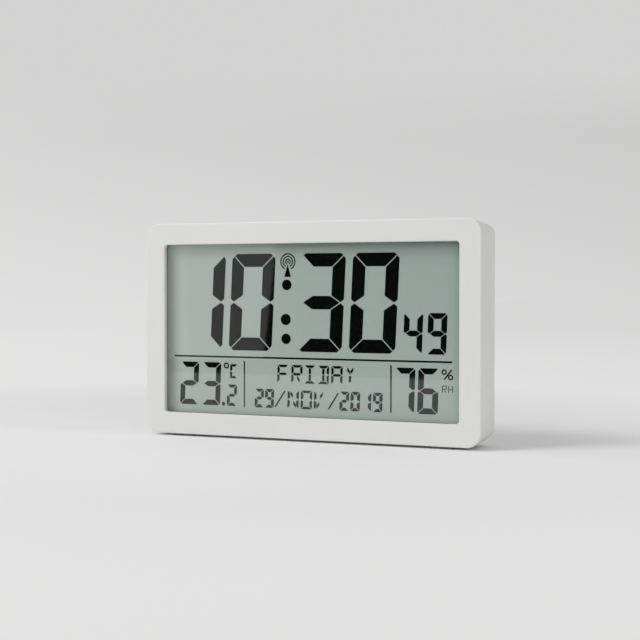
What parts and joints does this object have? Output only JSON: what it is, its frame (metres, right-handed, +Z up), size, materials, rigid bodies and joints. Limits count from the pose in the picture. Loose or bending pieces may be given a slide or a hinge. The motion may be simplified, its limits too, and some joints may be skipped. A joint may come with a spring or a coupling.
{
  "type": "thermometer hygrometer clock",
  "caption": "Free-standing or wall-hung digital clock with temperature and humidity display in a white moulded case, with fold-out stand and rear buttons.",
  "frame": {"origin": "under the middle of the case, on the surface that its feet stand on", "axes": "+X to the right seen from the front, +Y from the display to the back, +Z up"},
  "size_m": [0.2058, 0.029, 0.1231],
  "materials": {
    "case_plastic": "fine satin white moulding",
    "key_plastic": "satin light grey keys",
    "clear_acrylic": "clear polished plate",
    "display_glass": "thin clear glass",
    "seal_resin": "clear resin line",
    "reflector_film": "grey-green satin film",
    "foam": "black foam strip",
    "frame_plastic": "natural white moulding",
    "connector_rubber": "layered silicone connector",
    "board_laminate": "green solder mask",
    "black_resin": "black potting resin",
    "can_metal": "drawn can",
    "capacitor_sleeve": "shrunk dark sleeve on an aluminium can",
    "screw_steel": "plated steel",
    "foot_rubber": "dark rubber",
    "cell_jacket": "plain dark jacket with bare metal ends",
    "contact_nickel": "nickel-plated spring steel",
    "switch_plastic": "black switch housing",
    "sensor_plastic": "white sensor cap",
    "buzzer_brass": "brass disc",
    "ferrite": "dark sintered ferrite",
    "copper_winding": "enamelled copper winding"
  },
  "bodies": {
    "case": {"front_shell": "case_plastic", "rear_cover": "case_plastic", "display_lens": "clear_acrylic", "foam_strips": "foam", "lcd_front_glass": "display_glass", "lcd_seal": "seal_resin", "lcd_rear_glass": "display_glass", "lcd_reflector": "reflector_film", "lcd_frame": "frame_plastic", "zebra_strips": "connector_rubber", "main_board": "board_laminate", "controller_dome": "black_resin", "clock_crystal": "can_metal", "capacitors": "capacitor_sleeve", "board_screws": "screw_steel", "case_screws": "screw_steel", "button_board": "board_laminate", "button_board_screws": "screw_steel", "board_header": "switch_plastic", "switch_housings": "switch_plastic", "sensor_board": "board_laminate", "humidity_sensor": "sensor_plastic", "thermistor": "black_resin", "buzzer": "buzzer_brass", "ferrite_rod": "ferrite", "antenna_coil": "copper_winding", "antenna_holder": "frame_plastic", "upper_cell": "cell_jacket", "lower_cell": "cell_jacket", "contact_plates": "contact_nickel", "contact_springs": "contact_nickel", "rubber_feet": "foot_rubber"},
    "battery_door": {"battery_door": "case_plastic"},
    "stand": {"stand": "case_plastic"},
    "mode_button": {"mode_button": "key_plastic", "mode_plunger": "switch_plastic"},
    "plus_button": {"plus_button": "key_plastic", "plus_plunger": "switch_plastic"},
    "minus_button": {"minus_button": "key_plastic", "minus_plunger": "switch_plastic"},
    "unit_button": {"unit_button": "key_plastic", "unit_plunger": "switch_plastic"},
    "receive_button": {"receive_button": "key_plastic", "receive_plunger": "switch_plastic"},
    "reset_button": {"reset_button": "key_plastic", "reset_plunger": "switch_plastic"}
  },
  "joints": [
    {"name": "door_swing", "type": "hinge", "parent": "case", "child": "battery_door", "pos_m": [0.0666, 0.0141, 0.0499], "axis": [1, 0, 0], "range_deg": [0, 75]},
    {"name": "stand_fold", "type": "hinge", "parent": "case", "child": "stand", "pos_m": [0, 0.01225, 0.0708], "axis": [1, 0, 0], "range_deg": [0, 40]},
    {"name": "mode_press", "type": "slide", "parent": "case", "child": "mode_button", "axis": [0, -1, 0], "range_m": [0, 0.0005], "stiffness_N_per_m": 400},
    {"name": "plus_press", "type": "slide", "parent": "case", "child": "plus_button", "axis": [0, -1, 0], "range_m": [0, 0.0005], "stiffness_N_per_m": 400},
    {"name": "minus_press", "type": "slide", "parent": "case", "child": "minus_button", "axis": [0, -1, 0], "range_m": [0, 0.0005], "stiffness_N_per_m": 400},
    {"name": "unit_press", "type": "slide", "parent": "case", "child": "unit_button", "axis": [0, -1, 0], "range_m": [0, 0.0005], "stiffness_N_per_m": 400},
    {"name": "receive_press", "type": "slide", "parent": "case", "child": "receive_button", "axis": [0, -1, 0], "range_m": [0, 0.0005], "stiffness_N_per_m": 400},
    {"name": "reset_press", "type": "slide", "parent": "case", "child": "reset_button", "axis": [0, -1, 0], "range_m": [0, 0.0005], "stiffness_N_per_m": 400}
  ]
}
